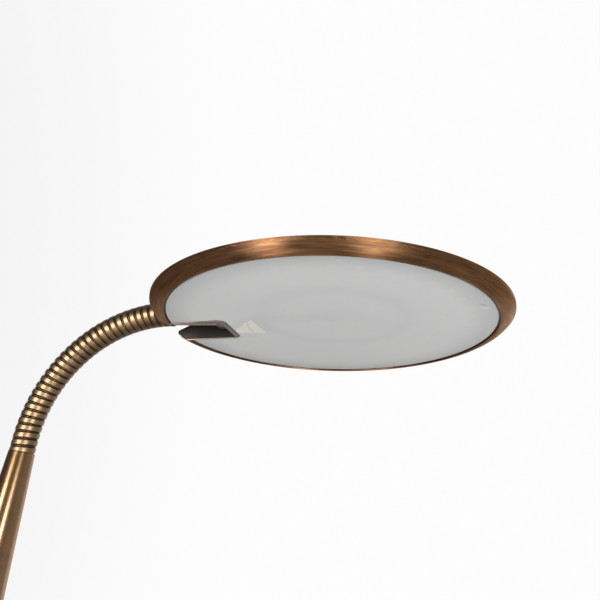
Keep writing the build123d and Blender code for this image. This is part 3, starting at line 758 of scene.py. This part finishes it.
PLAIN_FINISHES = {
    "cast_weight": dict(tones=(grey(0.05), grey(0.14)), scale=300.0, rough=0.6, metal=0.6, strength=0.3),
    "plain_steel": dict(
        tones=(rgb(0.42, 0.42, 0.41), rgb(0.6, 0.6, 0.58)), scale=260.0, rough=0.34, metal=1.0
    ),
    "felt": dict(tones=(grey(0.02), grey(0.06)), scale=900.0, rough=0.92, strength=0.6, depth=0.0006),
    "black_plastic": dict(tones=(rgb(0.025, 0.025, 0.026), grey(0.05)), scale=900.0, rough=0.45),
    "white_plastic": dict(tones=(rgb(0.7, 0.69, 0.66), rgb(0.8, 0.79, 0.76)), scale=500.0, rough=0.45),
    "bare_aluminium": dict(tones=(grey(0.6), grey(0.75)), scale=400.0, rough=0.36, metal=1.0),
    "board_white": dict(tones=(rgb(0.76, 0.76, 0.74), rgb(0.84, 0.84, 0.82)), scale=700.0, rough=0.4),
    "led_yellow": dict(tones=(rgb(0.75, 0.55, 0.12), rgb(0.88, 0.68, 0.22)), scale=900.0, rough=0.3),
    "lead_jacket": dict(tones=(grey(0.03), grey(0.06)), scale=800.0, rough=0.55),
}


# A value that wanders about its middle with a noise from 0 to 1
def about(middle, noise, spread):
    return noise * spread + (middle - spread / 2)


def from_middle(x, y):
    return (x * x + y * y) ** 0.5


# A value that rises with a slope from 0 at a point
def slanted(x, y, point, slope):
    return (x - point[0]) * slope[0] + (y - point[1]) * slope[1]


# 0 in the middle of an oval and 1 on its outline
def oval(x, y, middle, angle, half_length, half_width):
    cos, sin = math.cos(math.radians(angle)), math.sin(math.radians(angle))
    along = slanted(x, y, middle, (cos / half_length, sin / half_length))
    across = slanted(x, y, middle, (-sin / half_width, cos / half_width))
    return along * along + across * across


# Lines round a piece's own upright axis: across is how close they lie, around how soon they change
def turned_grain(finish, across, around):
    x, y, z = finish.parts(finish.local())
    radius = (x * x + y * y + AXIS_GUARD) ** 0.5
    height = (z + radius) * across
    return finish.vector(x / radius * around, y / radius * around, height)


def brushed_bronze(name, tones, rough, grain, turn, brush, lacquer, depth):
    finish = Finish(name)
    fine_lines = turned_grain(finish, grain, turn)
    broad_lines = turned_grain(finish, grain / BROAD_COARSER, turn * BROAD_TURN)
    fine = finish.noise(scale=1.0, detail=3.0, rough=0.65, place=fine_lines)
    broad = finish.noise(scale=1.0, place=broad_lines)
    patina = finish.noise(scale=24.0, detail=3.0)
    tone = finish.tone(fine * 0.5 + broad * 0.3 + patina * 0.2, spread=0.16)
    return finish.give(
        Base_Color=finish.mix(tone, *tones),
        Roughness=about(rough, fine, brush * BRUSH_ROUGH_SPREAD),
        Metallic=1.0,
        Anisotropic=brush,
        Anisotropic_Rotation=BRUSH_ANGLE,
        Specular_Tint=BRONZE_EDGE_TINT,
        Coat_Weight=about(lacquer, broad, LACQUER_SPREAD),
        Coat_Roughness=0.16,
        Coat_IOR=LACQUER_IOR,
        Normal=finish.bump(fine * 0.7 + broad * 0.3, strength=1.0, depth=depth),
    )


# Bronze on the ribs; near-black painted shade and more roughness in the grooves
def neck_bronze():
    finish = Finish("neck_bronze")
    rib = finish.node("ShaderNodeAttribute", {"attribute_name": "rib"}, {}, "Fac")
    grit = finish.grit(FINE_GRIT)
    patina = finish.noise(scale=60.0, detail=3.0)
    rib_bronze = finish.mix(finish.tone(grit * 0.5 + patina * 0.5), *NECK_TONES)
    # The grooves get painted shade where this share is low
    rib_face = finish.band(rib, *RIB_FACE_FADE)
    return finish.give(
        Base_Color=finish.mix(rib_face, GROOVE_PAINTED_SHADE, rib_bronze),
        Roughness=GROOVE_ROUGH - rib_face * RIB_SMOOTHER + grit * NECK_GRIT_ROUGH,
        Metallic=1.0,
        Coat_Weight=rib_face * RIB_LACQUER,
        Coat_Roughness=0.3,
        Coat_IOR=LACQUER_IOR,
        Normal=finish.bump(grit, strength=0.06, depth=0.0001),
    )


def satin(name, tones):
    finish = Finish(name)
    grit = finish.grit(SATIN_GRIT)
    broad = finish.noise(scale=70.0)
    return finish.give(
        Base_Color=finish.mix(finish.tone(grit * 0.4 + broad * 0.6), *tones),
        Roughness=about(0.38, grit, spread=0.08),
        Metallic=1.0,
        Coat_Weight=0.6,
        Coat_Roughness=0.2,
        Coat_IOR=LACQUER_IOR,
        Normal=finish.bump(grit, strength=0.04, depth=0.0001),
    )


# Slot finish: dark bronze darkened to near black as painted shade, and a painted highlight along its lowest
# edge
def shaded_slot_bronze():
    finish = Finish("slot_shaded_bronze")
    along, _, height = finish.parts(finish.head_local())
    grit = finish.grit(FINE_GRIT)
    broad = finish.noise(scale=40.0)
    shaded_brown = finish.mix(finish.tone(grit * 0.5 + broad * 0.5), *SLOT_SHADE_TONES)
    # Painted highlight along the lowest edge, brighter towards the rim
    edge_highlight = finish.mix(finish.band(along, *SLOT_HIGHLIGHT_RUN), *SLOT_EDGE_HIGHLIGHT_TONES)
    highlit_edge = finish.band(height + grit * SLOT_HIGHLIGHT_WANDER, *SLOT_HIGHLIGHT_FADE)
    return finish.give(
        Base_Color=finish.mix(highlit_edge, shaded_brown, edge_highlight),
        Roughness=about(0.51, grit, spread=0.12),
        Metallic=highlit_edge * SLOT_HIGHLIGHT_METAL + SLOT_METAL,
        Specular_IOR_Level=0.25,
        Normal=finish.bump(grit, strength=0.06, depth=0.0001),
    )


# Painted shade on the diffuser: a ring and ovals where what lies behind it shades it, and a darker border
def diffuser_shade(finish, x, y):
    ring = from_middle(x - SHADE_RING_MIDDLE[0], y - SHADE_RING_MIDDLE[1])
    shade = finish.band(abs(ring - SHADE_RING_RADIUS), SHADE_RING_REACH, 0.0) * SHADE_RING_SHARE
    for shade_oval in SHADE_OVALS:
        shade = shade + finish.band(oval(x, y, *shade_oval), *SHADE_OVAL_FADE) * SHADE_OVAL_SHARE
    return shade + finish.band(from_middle(x, y), *BORDER_SHADE_FADE) * BORDER_SHADE_SHARE


def chip_ring(finish, away, angle, radius, count, first):
    turns = (angle - math.radians(first)) * count
    around = finish.node("ShaderNodeMath", {"operation": "COSINE"}, {0: turns})
    across = finish.band(abs(away - radius), *CHIP_WIDTH_FADE)
    return across * finish.band(around, *CHIP_LENGTH_FADE)


def chip_dots(finish, x, y):
    chip_x, chip_y = x - CHIP_MIDDLE[0], y - CHIP_MIDDLE[1]
    away = from_middle(chip_x, chip_y)
    angle = finish.node("ShaderNodeMath", {"operation": "ARCTAN2"}, {0: chip_y, 1: chip_x})
    outer, inner = [chip_ring(finish, away, angle, *ring) for ring in CHIP_RINGS]
    patches = finish.noise(scale=55.0, detail=1.0)
    some = finish.band(patches, *CHIP_PATCH_FADE, start=CHIP_PATCH_START)
    # Painted light fades the chips towards the slot
    return (outer + inner) * finish.band(x, *CHIP_LIGHT_RUN, start=CHIP_LIGHT_RUN_START) * some


# The heap of sealant, the seam in it and the shade around it
def sealant_heap(finish, x, y, uneven):
    across = slanted(x, y, HEAP_MIDDLE, HEAP_ACROSS) + uneven * HEAP_ACROSS_RAGGED
    down = slanted(x, y, HEAP_MIDDLE, HEAP_DOWN) + uneven * HEAP_DOWN_RAGGED
    left = finish.band(slanted(across, down, HEAP_LEFT, HEAP_LEFT_SLOPE), *HEAP_SIDE_FADE)
    right = finish.band(slanted(across, down, HEAP_RIGHT, HEAP_RIGHT_SLOPE), *HEAP_SIDE_FADE)
    heap = left * right * finish.band(down, *HEAP_FOOT_FADE)
    seam_line = across - SEAM_TOP[0] - (down - SEAM_TOP[1]) ** 2.0 * SEAM_CURVE
    seam = finish.band(abs(seam_line), *SEAM_FADE)
    around = finish.band(oval(across, down, *HEAP_SHADE_OVAL), *HEAP_SHADE_FADE)
    return heap, seam, around


def opal_sheet():
    finish = Finish("opal_sheet")
    x, y, _ = [part * (1 / MM) for part in finish.parts(finish.head_local())]
    uneven = finish.noise(scale=330.0) - 0.5
    grit = finish.noise(OPAL_GRIT)
    heap, seam, around = sealant_heap(finish, x, y, uneven)
    light_mark = finish.band(oval(x, y, *LIGHT_MARK_OVAL), *LIGHT_MARK_FADE)
    layers = [
        # Painted shade from what lies behind the sheet
        (diffuser_shade(finish, x, y) * OPAL_SHADE_SHARE, OPAL_SHADE),
        (chip_dots(finish, x, y) * CHIP_SHARE, CHIP_TINT),
        (around * HEAP_SHADE_SHARE, HEAP_SHADE),
        (heap * (HEAP_SHARE + uneven * HEAP_SHARE_WANDER), HEAP_COLOUR),
        (heap * seam * SEAM_SHARE, SEAM_COLOUR),
        (light_mark * LIGHT_MARK_SHARE, LIGHT_MARK),
        (finish.band(oval(x, y, *DARK_MARK_OVAL), *DARK_MARK_FADE), DARK_MARK),
        # Painted shade in the gap between the diffuser and the lip
        (finish.band(from_middle(x, y), *LIP_GAP), LIP_GAP_SHADE),
    ]
    colour = finish.mix(finish.noise(scale=22.0, detail=3.0), *OPAL_TONES)
    for share, shade in layers:
        colour = finish.mix(share, colour, shade)
    return finish.give(
        Base_Color=colour,
        Roughness=about(0.49, grit, spread=0.08),
        Normal=finish.bump(grit, strength=0.03, depth=0.00005),
    )


def speckled(name, tones, scale, rough, metal=0.0, strength=0.1, depth=0.0002):
    finish = Finish(name)
    grit = finish.grit(scale, detail=4.0)
    broad = finish.noise(scale / BLOTCH_COARSER)
    return finish.give(
        Base_Color=finish.mix(finish.tone(grit * 0.6 + broad * 0.4), *tones),
        Roughness=about(rough, grit, spread=0.16),
        Metallic=metal,
        Normal=finish.bump(grit, strength, depth),
    )


def make_finishes():
    finishes = {name: speckled(name, **recipe) for name, recipe in PLAIN_FINISHES.items()}
    finishes["bronze_rim"] = brushed_bronze(
        "rim_bronze", RIM_TONES, rough=0.42, grain=1500.0, turn=7.0, brush=1.0, lacquer=0.02, depth=0.0004
    )
    finishes["bronze_shell"] = brushed_bronze(
        "shell_bronze", RIM_TONES, rough=0.4, grain=1500.0, turn=7.0, brush=0.9, lacquer=0.1, depth=0.00006
    )
    finishes["bronze_stem"] = brushed_bronze(
        "stem_bronze", STEM_TONES, rough=0.27, grain=2500.0, turn=3.0, brush=0.1, lacquer=0.4, depth=0.0000002
    )
    finishes["button_bronze"] = brushed_bronze(
        "button_bronze", STEM_TONES, rough=0.3, grain=3000.0, turn=4.0, brush=0.6, lacquer=0.8, depth=0.00002
    )
    finishes["sleeve_satin"] = satin("sleeve_satin", SLEEVE_TONES)
    finishes["barrel_shaded_satin"] = satin("barrel_shaded_satin", BARREL_SHADE_TONES)
    finishes["bronze_neck"] = neck_bronze()
    finishes["bronze_dark"] = shaded_slot_bronze()
    finishes["opal"] = opal_sheet()
    return finishes


def paint(made, material):
    made.data.materials.clear()
    made.data.materials.append(material)


# Studio
def softbox(name, x, y, width, height, brightness):
    heading = math.atan2(y, x - LAMP_MIDDLE)
    light = bpy.data.lights.new(name, "AREA")
    light.shape = "RECTANGLE"
    light.size = width
    light.size_y = height
    light.energy = brightness * math.pi * width * height
    made = bpy.data.objects.new(name, light)
    bpy.context.scene.collection.objects.link(made)
    made.location = (x, y, SOFTBOX_LIFT + height / 2)
    made.rotation_euler = (math.pi / 2, 0, heading + math.pi / 2)
    made.visible_camera = False


def make_world():
    world = bpy.data.worlds.new("studio")
    world.use_nodes = True
    bpy.context.scene.world = world
    sky = Wiring(world.node_tree)
    x, y, _ = sky.parts(sky.node("ShaderNodeTexCoord", {}, {}, "Generated"))
    rays = ("Is Camera Ray", "Is Glossy Ray", "Is Transmission Ray")
    seen, glossy, through = [sky.node("ShaderNodeLightPath", {}, {}, ray) for ray in rays]
    mirrored = sky.node("ShaderNodeMath", {"operation": "MAXIMUM"}, {0: glossy, 1: through})
    way = x * BACKDROP_WAY[0] + y * BACKDROP_WAY[1]
    backdrop = sky.band(way, *BACKDROP_FADE, *BACKDROP_TONES)
    paper = PAPER_WHITE - sky.band(x, *PAPER_FADE) * PAPER_FALL
    lit = mirrored * backdrop + (1.0 - mirrored) * ROOM_LIGHT
    back = world.node_tree.nodes["Background"]
    back.inputs["Color"].default_value = grey(1.0)
    feed(world.node_tree, seen * paper + (1.0 - seen) * lit, back.inputs["Strength"])


def make_floor():
    points = [(0, 0, FLOOR_LEVEL)]
    for cos, sin in round_steps(FLOOR_SEGMENTS):
        points.append((FLOOR_RADIUS * cos, FLOOR_RADIUS * sin, FLOOR_LEVEL))
    faces = [(0, k + 1, (k + 1) % FLOOR_SEGMENTS + 1) for k in range(FLOOR_SEGMENTS)]
    floor = mesh_object("studio_floor", points, faces)
    finish = Finish("floor_paper")
    x, y, _ = finish.parts(finish.local())
    colour = finish.mix(finish.noise(scale=60.0, detail=3.0), grey(0.8), grey(0.83))
    paper = finish.give(Base_Color=colour, Roughness=0.9)
    lit = Shade(finish.tree, finish.shader.outputs[0])
    glow = finish.node("ShaderNodeEmission", {}, {"Strength": FLOOR_GLOW})
    fade = finish.band(from_middle(x, y), *FLOOR_FADE)
    faded = finish.node("ShaderNodeMixShader", {}, {0: fade, 1: lit, 2: glow})
    feed(finish.tree, faded, finish.tree.nodes["Material Output"].inputs["Surface"])
    paint(floor, paper)


def make_camera():
    angles = (CAMERA_HEADING, CAMERA_RISE, CAMERA_ROLL)
    heading, rise, roll = [math.radians(angle) for angle in angles]
    flat = math.cos(rise)
    ahead = Vector((-math.sin(heading) * flat, math.cos(heading) * flat, math.sin(rise)))
    level = Vector((math.cos(heading), math.sin(heading), 0))
    above = level.cross(ahead) * math.cos(roll) + level * math.sin(roll)
    right = ahead.cross(above)
    camera = bpy.data.objects.new("camera", bpy.data.cameras.new("camera"))
    bpy.context.scene.collection.objects.link(camera)
    camera.data.lens = CAMERA_LENS
    camera.data.sensor_width = CAMERA_SENSOR
    camera.data.sensor_fit = "HORIZONTAL"
    camera.data.clip_start = CAMERA_NEAR
    turn = Matrix((right, above, -ahead)).transposed().to_4x4()
    camera.matrix_world = Matrix.Translation(CAMERA_SPOT) @ turn
    bpy.context.scene.camera = camera


def main():
    bpy.context.scene.view_settings.view_transform = "Standard"
    make_camera()
    make_world()
    make_floor()
    for box in SOFTBOXES:
        softbox(*box)
    finishes = make_finishes()
    cutter = slot_block()
    skins, leads = make_neck()
    pieces = [(skin, "bronze_neck") for skin in skins] + [(lead, "lead_jacket") for lead in leads]
    pieces += [(make_sleeve(), "sleeve_satin"), (make_stem(), "bronze_stem")]
    pieces += [(make_rim(cutter), "bronze_rim"), (make_shell(cutter), "bronze_shell")]
    bpy.data.objects.remove(cutter)
    for made, finish in pieces:
        paint(made, finishes[finish])
    for part in frame["record"]["subparts"]:
        paint(frame["nodes"][part["node"]], finishes[part["material_slot"]])
    # The tilt pin's barrel takes the satin darkened as painted shade
    paint(frame["nodes"]["hinge_barrel"], finishes["barrel_shaded_satin"])


main()
